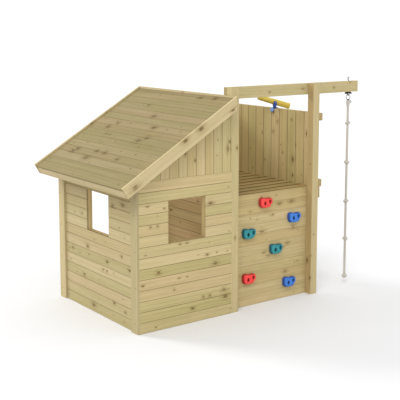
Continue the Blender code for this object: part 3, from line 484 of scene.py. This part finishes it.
# The finish of each CAD node of wood.
timbers = {
    ("front_wall_panel",): timber(
        "pine_front_wall", X, Z, tones="mdgppdlmlpglgp", line=0.55, knots=FRONT_KNOTS, clusters=0.05),
    ("left_wall_panel",): timber(
        "pine_left_wall", Y, Z, srgb(187, 172, 131), tones="dgpdldphlghh", line=0.60,
        knots=LEFT_KNOTS, clusters=0.04, seed=1.0, spread=0.8, end_depth=0.3),
    ("back_wall_panel",): timber(
        "pine_back_wall", X, Z, tones="gmdplgpdmhlgdm", line=0.55, clusters=0.15, seed=2.0),
    ("partition_panel",): timber(
        "pine_partition", Y, Z, HONEY, "hphmhgphmhphdhmghphd", line=0.55, clusters=0.22, seed=3.0),
    ("front_gable_panel",): timber(
        "pine_front_gable", Z, X, tones="eedphmhphmg", start=-0.046, line=0.50, knots=GABLE_KNOTS,
        clusters=0.05, seed=4.0),
    ("back_gable_panel",): timber(
        "pine_back_gable", Z, X, tones="mgplhdmgplh", start=-0.046, line=0.50, seed=5.0),
    ("roof_boards",): timber(
        "pine_roof", Y, SLOPE, ROOF, "gdlhlddhpdpddheg", start=EAVE.dot(SLOPE), line=0.22, spread=0.72,
        knots=[(a, c + EAVE.dot(SLOPE), 1.15 * k) for a, c, k in ROOF_KNOTS], clusters=0.03, pins=0.3,
        seed=6.0, knot_depth=0.78),
    ("front_bargeboard", "back_bargeboard"): timber(
        "pine_bargeboard", SLOPE, SQUARE, srgb(204, 187, 145), "m", 0.2, EAVE.dot(SQUARE) - 0.16,
        clusters=0.0, pins=0.0, seed=7.0,
        knots=[(a + EAVE.dot(SLOPE), c + EAVE.dot(SQUARE), k) for a, c, k in BARGE_KNOTS]),
    ("eave_fascia", "ridge_board"): timber(
        "pine_eave", Y, Z, srgb(198, 181, 141), "m", 0.4, 1.2, pins=0.5, clusters=0.1, seed=8.0),
    ("front_rafter", "back_rafter"): timber(
        "pine_rafter", SLOPE, SQUARE, HONEY, "m", 0.5, 0.4, seed=9.0),
    ("corner_trim_front",): timber(
        "pine_corner_trim", Z, POST_WRAP, srgb(181, 167, 127), "m", 0.15, -0.123, pins=0.2, clusters=0.0,
        seed=10.0),
    ("corner_trim_back",): timber(
        "pine_corner_trim_back", Z, POST_WRAP, srgb(196, 180, 138), "m", 0.16, -1.58, pins=0.2,
        clusters=0.0, seed=10.5),
    ("post_front_left",): timber(
        "pine_left_post", Z, POST_WRAP, srgb(199, 183, 138), "m", 0.19, 1.030, pins=0.2, clusters=0.0,
        knots=((1.70, 1.19, 0.012), (0.78, 1.17, 0.010)), seed=11.0),
    ("post_front_right",): timber(
        "pine_right_post", Z, POST_WRAP, srgb(198, 181, 138), "m", 0.19, 2.129, pins=0.1, clusters=0.0,
        knots=((0.76, 2.115, 0.020), (0.37, 2.164, 0.018), (0.18, 2.21, 0.014)), seed=12.0,
        # painted shade on the face that looks towards -X, where the climbing wall keeps the light off
        left_face_shade=(0.84, 0.76, 0.66)),
    ("post_back_left", "post_back_right"): timber(
        "pine_back_post", Z, POST_WRAP, srgb(196, 180, 136), "m", 0.60, -0.450, pins=0.3, seed=12.5),
    ("top_beam",): timber(
        "pine_beam", X, (0, -1, 1), srgb(193, 178, 133), "m", 0.175, 2.045, pins=0.3, clusters=0.0,
        knots=((1.69, 2.14, 0.010), (2.15, 2.16, 0.010), (2.61, 2.15, 0.009), (2.86, 2.21, 0.010)),
        seed=13.0),
    tuple(f"climbing_board_{k:02d}" for k in range(1, 12)): timber(
        "pine_climbing_wall", X, Z, srgb(198, 180, 133), "lmhgmmhllhh", CLIMB_PITCH, line=0.16,
        knots=CLIMB_KNOTS, clusters=0.02, pins=0.2, contrast=1.3, seed=14.0, knot_depth=0.62),
    ("deck_boards",): timber(
        "pine_deck", X, Y, DECK, "hdhhhdhdhdh", DECK_PITCH, 0.1106, line=0.88, contrast=3.0, seed=15.0,
        line_width=0.022),
    ("right_guard_panel",): timber(
        "pine_right_guard", Z, Y, INNER, "hphdhpghdhhhm", GUARD_PITCH, 0.216 - 2 * GUARD_PITCH,
        line=0.75, knots=GUARD_KNOTS, clusters=0.06, seed=16.0, line_width=0.004, end_depth=2.6),
    ("back_guard_panel",): timber(
        "pine_back_guard", Z, X, INNER, "mhgphdmghp", GUARD_PITCH, 1.1, line=0.7, clusters=0.15,
        seed=17.0, line_width=0.004, end_depth=2.6),
    # The wall plate is painted much lighter than the wall's pine: painted light that lifts the shade in the
    # gap under the eave.
    ("left_wall_plate",): timber(
        "pine_wall_plate", Y, Z, srgb(240, 222, 176), "m", 0.4, 1.1, seed=8.5),
    # The side window's frame is painted lighter than the front frames: painted light that lifts the shade on
    # its sill and jambs.
    ("left_window_frame",): timber(
        "pine_left_window_frame", Z, POST_WRAP, srgb(226, 203, 150), "m", 6.0, -3.0, pins=0.0,
        clusters=0.0, seed=18.5),
    ("front_window_frame", "doorway_frame"): timber(
        "pine_window_frame", Z, POST_WRAP, srgb(196, 174, 122), "m", 6.0, -3.0, pins=0.0, clusters=0.0,
        seed=18.0),
    ("right_upper_rail", "right_lower_rail", "right_rim_board", "left_joist", "right_joist"): timber(
        "pine_side_rail", Y, (1, 0, 1), srgb(194, 176, 130), "m", 0.35, 0.57, pins=0.4, seed=19.0),
    ("back_upper_rail",): timber(
        "pine_back_rail", X, (0, 1, 1), srgb(190, 172, 126), "m", 0.35, 1.1, pins=0.6, seed=20.0),
    ("climbing_wall_batten",): timber(
        "pine_batten", Z, POST_WRAP, HONEY, "m", 0.2, 1.0, seed=21.0),
}
for names, finish in timbers.items():
    for name in names:
        nodes[name].data.materials.clear()
        nodes[name].data.materials.append(finish)

# ---------------------------------------------------------------- plastics, metals and rope fibre


def plastic(name, colour, grain=340.0, depth=0.0006, roughness=0.42, speckle=0.10, sides=None):
    """Moulded plastic with a fine cast texture and faint mottling.

    grain and depth are the texture's scale and height. sides is painted shade on the faces that don't look
    along Y.
    """
    s = Shader(name, roughness, 0.42)
    fine = s.noise(s.place, grain, 3.0, 0.6)
    cast = s.noise(s.place, 26.0, 3.0)
    dark = tuple(v * (1.0 - speckle) for v in colour)
    light = tuple(min(1.0, v * (1.0 + speckle) + 0.006) for v in colour)
    shade = s.mix(s.smooth(cast, 0.3, 0.7), dark, light)
    shade = s.mix(s.math("MULTIPLY", s.smooth(fine, 0.52, 0.75), 0.18), shade, light)
    if sides is not None:
        # Painted shade: the sides tint darkens the faces that don't look along Y.
        front = s.math("ABSOLUTE", s.vector("DOT_PRODUCT", s.coordinates.outputs["Normal"], Y))
        shade = s.mix(s.smooth(front, 0.45, 0.95), s.mix(1.0, shade, sides, "MULTIPLY"), shade)
    s.bump(fine, depth, 0.6)
    return s.finish(shade, s.smooth(cast, 0.3, 0.7, roughness - 0.05, roughness + 0.10))


def metal(name, colour, roughness, worn):
    """Zinc-plated or blackened steel, with spangle and handling marks. worn is the marks' strength."""
    s = Shader(name, roughness, 0.5, 0.85)
    spangle = s.cells(s.place, 420.0)[1]
    marks = s.noise(s.place, 160.0, 4.0, 0.65)
    tint = s.split(spangle)[0]
    low = tuple(v * 0.78 for v in colour)
    shade = s.mix(tint, low, colour)
    shade = s.mix(s.math("MULTIPLY", s.smooth(marks, 0.55, 0.75), worn), shade, srgb(150, 146, 138))
    s.bump(marks, 0.0003, 0.4)
    return s.finish(shade, s.smooth(marks, 0.3, 0.7, roughness - 0.08, roughness + 0.15))


def fibre(name, colour):
    """Twisted rope yarn: fine slanting fibres, darker in the hollows between the strands."""
    s = Shader(name, 0.88, 0.15)
    x, y, z = s.split(s.place)
    turn = s.math("ARCTAN2", s.math("SUBTRACT", y, ROPE_PLACE.y), s.math("SUBTRACT", x, ROPE_PLACE.x))
    slant = s.math("MULTIPLY_ADD", turn, 0.010, z)
    fibres = s.join(s.math("MULTIPLY", turn, 3.0), s.math("MULTIPLY", slant, 420.0), 0.0)
    yarn = s.noise(fibres, 1.0, 2.0)
    fluff = s.noise(s.place, 520.0, 2.0, 0.7)
    patches = s.noise(s.place, 22.0, 2.0)
    lay_turn = s.math("MULTIPLY", z, ROPE_STRANDS * 2 * math.pi / ROPE_LAY)
    hollow = s.math("COSINE", s.math("MULTIPLY_ADD", turn, ROPE_STRANDS, lay_turn))
    dark, hollow_shade, soiled, bright = (tuple(v * gain for v in colour) for gain in (0.70, 0.34, 0.84, 1.12))
    shade = s.mix(s.smooth(yarn, 0.3, 0.7), dark, colour)
    # Painted shade: the hollows between the strands are darkened.
    shade = s.mix(s.smooth(hollow, 0.1, 0.95, 0.0, 0.62), shade, hollow_shade)
    shade = s.mix(s.math("MULTIPLY", s.smooth(patches, 0.4, 0.7), 0.35), shade, soiled)
    shade = s.mix(s.math("MULTIPLY", s.smooth(fluff, 0.5, 0.8), 0.3), shade, bright)
    s.bump(s.math("ADD", yarn, fluff), 0.0012, 0.7)
    return s.finish(shade)


# The rope's axis on the ground, its number of strands, and the height in which a strand goes round once.
ROPE_PLACE = plan(2.8535, 0.0903 + 0.0225, 0.0)
ROPE_STRANDS = 3
ROPE_LAY = 0.078

HOLD_COLOURS = {"red": (250, 66, 60), "blue": (56, 122, 211), "green": (36, 140, 145)}
HOLD_PAINTS = {
    # the cast finish's sides tint is painted shade on the stones' side faces
    name: (plastic(f"hold_{name}_cast", srgb(*colour), roughness=0.46, sides=(0.50, 0.42, 0.55)),
           # the socket finish is a darker copy of the colour: painted shade for the recesses
           plastic(f"hold_{name}_socket", srgb(*colour, gain=0.42), roughness=0.6))
    for name, colour in HOLD_COLOURS.items()
}
rope_fibre = fibre("rope_fibre", srgb(220, 214, 203))
zinc = metal("zinc_steel", srgb(168, 168, 168), 0.34, 0.25)
dark_steel = metal("dark_steel_worn", srgb(66, 64, 63), 0.42, 0.25)
black_steel = metal("black_steel_coated", srgb(34, 33, 33), 0.48, 0.15)
scope_yellow = plastic("telescope_yellow_shell", srgb(205, 180, 72), 260.0, 0.0003, 0.40, 0.05)
scope_blue = plastic("telescope_blue_shell", srgb(24, 70, 158), 260.0, 0.0003, 0.42, 0.06)
scope_pale = plastic("telescope_pale_shell", srgb(126, 160, 224), 260.0, 0.0003, 0.42, 0.05)
for name, finish in {
    "telescope_base": scope_blue, "telescope_cap": scope_pale, "telescope_yoke": scope_blue,
    "telescope_tube": scope_yellow, "swing_bracket": black_steel, "beam_hook_bolt": dark_steel,
    "link_ring": zinc, "rope_eye": dark_steel,
}.items():
    nodes[name].data.materials.clear()
    nodes[name].data.materials.append(finish)

# ---------------------------------------------------------------- climbing rope

ROPE_TOP, ROPE_END, ROPE_THICK = 2.0650, 0.0570, 0.0270
ROPE_LENGTH = ROPE_TOP - ROPE_END
ROPE_RING_GAP = 0.0052
ROPE_SIDES = 27
# The strands are drawn a little fuller than the rope's diameter, and their hollows end at the core.
ROPE_FULLER = 1.09
ROPE_CORE = 0.0106
# The radius of three circles' outline over the radius of one of them.
THREE_STRANDS = 2.1547
# The knots' heights, how many points a knot's route has, and how far it winds out from the rope's axis.
KNOTS = (1.836, 1.392, 0.948, 0.517, 0.0805)
KNOT_POINTS = 72
KNOT_OUT, KNOT_WAVE = 0.0142, 0.0070


def strands(angle, height):
    """The outline of three strands laid together: the radius at an angle and a height."""
    outer = ROPE_FULLER * ROPE_THICK / 2
    strand = outer / THREE_STRANDS
    offset = outer - strand
    sector = 2 * math.pi / ROPE_STRANDS
    turn = (angle + 2 * math.pi * height / ROPE_LAY) % sector - sector / 2
    inside = strand ** 2 - (offset * math.sin(turn)) ** 2
    return max(ROPE_CORE, offset * math.cos(turn) + math.sqrt(max(0.0, inside)))


bm = bmesh.new()
steps = int(ROPE_LENGTH / ROPE_RING_GAP)
rings = []
for k in range(steps + 1):
    z = ROPE_TOP - ROPE_LENGTH * k / steps
    rings.append([
        bm.verts.new(ROPE_PLACE + Vector((strands(t, z) * math.cos(t), strands(t, z) * math.sin(t), z)))
        for t in (2 * math.pi * j / ROPE_SIDES for j in range(ROPE_SIDES))])
bridge(bm, rings)
rope = add_piece("laid_rope", bm, rope_fibre)
rope_pieces = []
for number, z in enumerate(KNOTS, 1):
    bm = bmesh.new()
    route = []
    for k in range(KNOT_POINTS):
        t = 2 * math.pi * k / KNOT_POINTS
        out = KNOT_OUT + KNOT_WAVE * math.cos(3 * t)
        route.append(ROPE_PLACE + Vector((out * math.cos(2 * t + number), out * math.sin(2 * t + number),
                                          z + KNOT_WAVE * math.sin(3 * t))))
    sweep(bm, route, lambda k, angle: 0.0112 + 0.0006 * math.cos(3 * angle + k * 0.9), 15, closed=True)
    rope_pieces.append(add_piece(f"rope_knot_{number}", bm, rope_fibre))

# The rope turns back on itself round its thimble at the top, is bound there, and leaves a short tail.
bm = bmesh.new()
profile = [(0.0130, 2.020), (0.0155, 2.030), (0.0182, 2.042), (0.0208, 2.054), (0.0216, 2.066),
           (0.0205, 2.075), (0.0170, 2.081), (0.0100, 2.0825)]
lathe(bm, profile, ROPE_PLACE, Z, 30, lambda angle, z: 1.0 + 0.06 * math.cos(3 * angle - 90.0 * z))
rope_pieces.append(add_piece("rope_splice", bm, rope_fibre))
bm = bmesh.new()
tail = [ROPE_PLACE + Vector(p) for p in (
    (0.010, 0.0, 2.050), (0.018, 0.0, 2.064), (0.027, 0.0, 2.074), (0.036, 0.0, 2.077),
    (0.043, 0.0, 2.071), (0.0465, 0.0, 2.062))]
sweep(bm, tail, lambda k, angle: (0.0105, 0.0115, 0.0115, 0.0110, 0.0100, 0.0080)[k], 14)
rope_pieces.append(add_piece("rope_tail", bm, rope_fibre))
for piece in [rope, *rope_pieces]:
    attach(piece, "rope")
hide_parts("climbing_rope")

# ---------------------------------------------------------------- climbing holds

# How far a stone stands out, the wall's face in plan coordinates, and each stone's place on it.
HOLD_DEPTH = 0.045
HOLD_BACK = 0.0900
HOLDS = {
    "red_top": (1.636, 1.080), "blue_top": (2.039, 0.874), "green_left": (1.414, 0.777),
    "green_middle": (1.786, 0.564), "red_low": (1.417, 0.297), "blue_low": (1.976, 0.174),
}
# The stone's edge seen from the front: two shoulders with a dip between them, cut away at lower right.
HOLD_EDGE = (
    (-0.086, 0.012), (-0.083, 0.040), (-0.066, 0.055), (-0.036, 0.055), (-0.010, 0.046), (0.012, 0.045),
    (0.044, 0.047), (0.070, 0.042), (0.082, 0.022), (0.079, -0.006), (0.064, -0.026), (0.050, -0.047),
    (0.022, -0.056), (-0.022, -0.055), (-0.062, -0.049), (-0.082, -0.024),
)
# From the wall outwards: the share of the depth, and how large the edge is there. The front goes on from
# the last of them in rings that shrink to its middle.
HOLD_SIDE = ((0.0, 0.98), (0.08, 1.0), (0.30, 0.998), (0.55, 0.985), (0.72, 0.962), (0.83, 0.930),
             (0.90, 0.895), (0.94, 0.860), (0.96, 0.830))
FRONT_RINGS = 28
# The two recesses' places, their half width and half height, and how far their floor is from the wall.
RECESSES = ((-0.029, -0.004), (0.038, 0.010))
RECESS_REACH = (0.0135, 0.0215)
RECESS_FLOOR = 0.014


def recess_share(x, z, recess):
    """0 in the middle of a recess and 1 at its edge."""
    return math.hypot((x - recess[0]) / RECESS_REACH[0], (z - recess[1]) / RECESS_REACH[1])


def hold_depth(x, z, share):
    """How far the front stands out at a place: a low dome, a dip between the shoulders, two recesses."""
    out = HOLD_DEPTH * share
    out -= 0.013 * math.exp(-(((x - 0.001) / 0.015) ** 2)) * step(z, 0.002, 0.040)
    out -= 0.004 * step(-z, 0.020, 0.052)
    for recess in RECESSES:
        reach = recess_share(x, z, recess)
        out += 0.002 * math.exp(-((reach - 1.40) ** 2) / 0.06)
        out -= (out - RECESS_FLOOR) * (1.0 - step(reach, 0.84, 1.04))
    return out


def hold_piece(name, place, finishes):
    """One stone, with its back on the wall at a place. finishes has the stone's and the recesses'."""
    edge = blend_curve([(x, z, 0.0) for x, z in HOLD_EDGE], 7)
    depth, size = HOLD_SIDE[-1]
    levels = list(HOLD_SIDE)
    for ring in range(FRONT_RINGS - 1, 0, -1):
        levels.append((depth + (1 - depth) * (1 - (ring / FRONT_RINGS) ** 2), size * ring / FRONT_RINGS))
    bm = bmesh.new()
    rings = []
    for share, scale in levels:
        ring = []
        for point in edge:
            x, z = point.x * scale, point.y * scale
            out = hold_depth(x, z, share) if share > 0.6 else HOLD_DEPTH * share
            ring.append(bm.verts.new(place + Vector((x, -out, z))))
        rings.append(ring)
    bridge(bm, rings)
    made = add_piece(name, bm, finishes[0])
    made.data.materials.append(finishes[1])
    for face in made.data.polygons:
        # Faces inside the recesses take the darker finish, which is painted shade.
        spot = face.center - place
        deep = min(recess_share(spot.x, spot.z, recess) for recess in RECESSES)
        face.material_index = 1 if deep < 0.99 and spot.y < -0.012 else 0
    return made


for name, (x, z) in HOLDS.items():
    colour = name.split("_")[0]
    stone = hold_piece(f"stone_{name}", plan(x, HOLD_BACK, z), HOLD_PAINTS[colour])
    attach(stone, "structure")
    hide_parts(f"hold_{name}")

# A bolt with a sunk middle on the floor of each recess, as (radius, height) pairs.
BOLT_HEAD = [(0.0055, 0.0), (0.0058, 0.0025), (0.0050, 0.0042), (0.0034, 0.0050), (0.0032, 0.0022),
             (0.0005, 0.0020)]
BOLT_SUNK = 0.0002
bm = bmesh.new()
for x, z in HOLDS.values():
    for rx, rz in RECESSES:
        lathe(bm, BOLT_HEAD, plan(x + rx, HOLD_BACK - RECESS_FLOOR + BOLT_SUNK, z + rz), -Y, 18)
bolts = add_piece("hold_bolts", bm, black_steel)
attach(bolts, "structure")

# ---------------------------------------------------------------- strip under the eave

# It closes the space between the top of the side wall's boards and the roof boards. Its sides stay clear
# of the CAD nodes round it by the small numbers below.
plate = nodes["left_wall_plate"].data.vertices
panel = nodes["left_wall_panel"].data.vertices
outer_x = min(v.co.x for v in panel) + 0.0015
inner_x = min(v.co.x for v in plate) - 0.0008
strip_low = max(v.co.z for v in panel) + 0.0006
strip_high = max(v.co.z for v in plate if v.co.x < inner_x + 0.002) - 0.0015
strip_ends = (min(v.co.y for v in plate) + 0.001, max(v.co.y for v in plate) - 0.001)
fall = (inner_x - outer_x) * math.tan(ROOF_ANGLE)
section = ((outer_x, strip_low), (inner_x, strip_low), (inner_x, strip_high),
           (outer_x, strip_high - fall))
# The strip's brown, darker than the side wall's pine, is partly painted shade for the band under the eave.
strip_finish = timber(
    "pine_eave_strip", Y, Z, srgb(172, 152, 106), "m", 0.4, 1.1, pins=0.0, clusters=0.0, seed=22.0)
bm = bmesh.new()
bridge(bm, [[bm.verts.new((x, y, z)) for x, z in section] for y in strip_ends])
strip = add_piece("left_eave_strip", bm, strip_finish, smooth=False)
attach(strip, "structure")

# ---------------------------------------------------------------- screws

# (radius, height) pairs from the wood's face.
SCREW_HEAD = [(0.0045, -0.0006), (0.0046, 0.0004), (0.0036, 0.0009), (0.0018, 0.0010), (0.0016, 0.0002),
              (0.0003, 0.0001)]


def screws(name, places, axis):
    """Screw heads at places, as one piece. axis is the direction that they look in."""
    bm = bmesh.new()
    for place in places:
        lathe(bm, SCREW_HEAD, place, axis, 14)
    made = add_piece(name, bm, dark_steel)
    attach(made, "structure")


screws("screws_left", [plan(0.0, y, z) for y in (0.045, 1.525) for z in (0.10, 0.45, 0.80, 1.15)], -X)
screws("screws_right", [plan(2.3593, y, z) for z in (1.226, 1.945)
                        for y in (0.030, 0.060, 1.510, 1.540)], X)

# ---------------------------------------------------------------- floor and light

FLOOR_RADIUS = 90.0
FLOOR_DROP = 0.0005
STUDIO_LIGHT = 0.91
STUDIO_BACKDROP = 1.05

s = Shader("studio_floor", 0.9, 0.0)
patches = s.noise(s.place, 0.6, 2.0)
floor_finish = s.finish(s.mix(s.smooth(patches, 0.3, 0.7), (0.805, 0.808, 0.820), (0.811, 0.814, 0.826)))
bm = bmesh.new()
bmesh.ops.create_circle(bm, cap_ends=True, segments=96, radius=FLOOR_RADIUS)
floor = add_piece("studio_floor", bm, floor_finish, smooth=False)
floor.location.z = -FLOOR_DROP

world = bpy.data.worlds.new("studio")
world.use_nodes = True
background = world.node_tree.nodes["Background"]
background.inputs["Color"].default_value = (1.0, 1.0, 1.0, 1.0)
# The camera sees a plain white studio, a little brighter than the light that it gives.
path = world.node_tree.nodes.new("ShaderNodeLightPath")
level = world.node_tree.nodes.new("ShaderNodeMapRange")
level.inputs["To Min"].default_value = STUDIO_LIGHT
level.inputs["To Max"].default_value = STUDIO_BACKDROP
world.node_tree.links.new(path.outputs["Is Camera Ray"], level.inputs["Value"])
world.node_tree.links.new(level.outputs[0], background.inputs["Strength"])
scene.world = world


def sun(name, travel, energy, width):
    """A soft sun whose light travels along a direction; width is the lamp's apparent size in degrees."""
    data = bpy.data.lights.new(name, "SUN")
    data.energy = energy
    data.angle = math.radians(width)
    made = bpy.data.objects.new(name, data)
    made.rotation_euler = Vector(travel).to_track_quat("-Z", "Y").to_euler()
    scene.collection.objects.link(made)


sun("key", (0.425, -0.754, -0.50), 1.15, 19.0)
sun("front_fill", (0.46, 0.42, -0.78), 0.92, 24.0)

# A card under the playhouse roof that lifts the shade inside.
card_data = bpy.data.lights.new("inside_card", "AREA")
card_data.energy = 3.0
card_data.size = 0.7
card = bpy.data.objects.new("inside_card", card_data)
card.location = plan(0.22, 0.62, 1.30)
card.rotation_euler = Vector((0.9, 0.0, -0.35)).to_track_quat("-Z", "Y").to_euler()
card.visible_camera = False
scene.collection.objects.link(card)
scene.view_settings.view_transform = "Standard"
